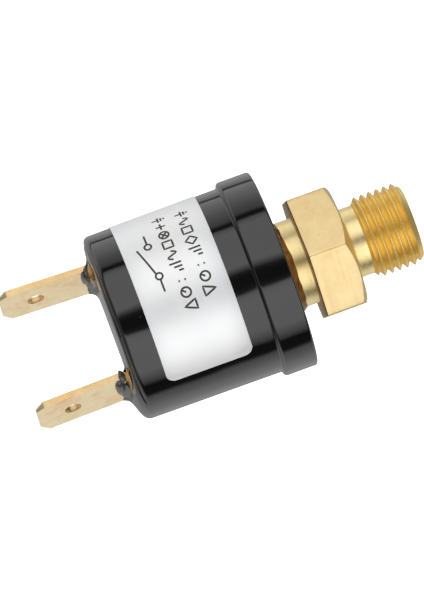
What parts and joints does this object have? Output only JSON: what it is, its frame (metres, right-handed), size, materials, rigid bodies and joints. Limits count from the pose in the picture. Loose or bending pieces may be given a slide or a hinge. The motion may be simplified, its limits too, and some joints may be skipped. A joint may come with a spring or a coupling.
{
  "type": "pressure switch",
  "caption": "Fixed-setting air pressure switch: threaded brass port with hexagon, black moulded cup with a wrapped foil label, and brass spade terminals standing out of a potted end.",
  "frame": {"origin": "centre of the port thread's end face, on the switch's axis", "axes": "+Z along the axis from the port to the terminal tips; the broad faces of both spade terminals look along X"},
  "size_m": [0.0234, 0.0234, 0.0478],
  "materials": {
    "black_moulding": "glossy black thermoset with fine moulding ripple",
    "black_potting": "poured black epoxy with menisci",
    "amber_resin": "cured amber thread sealant",
    "turned_brass": "turned, lightly satin",
    "tab_brass": "rolled strip, stamped",
    "label_foil": "satin silver foil, printed",
    "can_aluminium": "drawn",
    "black_rubber": "nitrile",
    "amber_film": "polyimide film",
    "spring_steel": "cold rolled",
    "brown_phenolic": "moulded thermoset",
    "white_ceramic": "ground steatite",
    "spring_copper": "beryllium copper strip",
    "contact_silver": "silver contact rivet"
  },
  "bodies": {
    "root": {"outer_housing": "black_moulding", "label": "label_foil", "potting_seal": "black_potting", "neck_sealant": "amber_resin", "pressure_port_fitting": "turned_brass", "left_terminal": "tab_brass", "right_terminal": "tab_brass", "left_eyelet": "tab_brass", "right_eyelet": "tab_brass", "crimp_can": "can_aluminium", "port_o_ring": "black_rubber", "diaphragm": "amber_film", "disc_seat_ring": "spring_steel", "snap_disc": "spring_steel", "pin_guide": "brown_phenolic", "switch_base": "brown_phenolic", "fixed_contact": "contact_silver", "fixed_contact_plate": "tab_brass"},
    "pin": {"push_pin": "white_ceramic"},
    "button": {"pressure_button": "spring_steel"},
    "blade": {"contact_blade": "spring_copper", "moving_contact": "contact_silver"}
  },
  "joints": [
    {"name": "pin_travel", "type": "slide", "parent": "root", "child": "pin", "axis": [0, 0, 1], "range_m": [0, 0.0004], "stiffness_N_per_m": 200, "deforming": ["snap_disc", "diaphragm"]},
    {"name": "button_travel", "type": "slide", "parent": "root", "child": "button", "axis": [0, 0, 1], "range_m": [0, 0.0004]},
    {"name": "blade_lift", "type": "hinge", "parent": "root", "child": "blade", "pos_m": [-0.0046, 0, 0.0263], "axis": [0, -1, 0], "range_deg": [0, 5]}
  ],
  "couplings": [
    {"joint": "button_travel", "follows": "pin_travel", "ratio": 1},
    {"joint": "blade_lift", "follows": "pin_travel", "rad_per_m": 217}
  ]
}
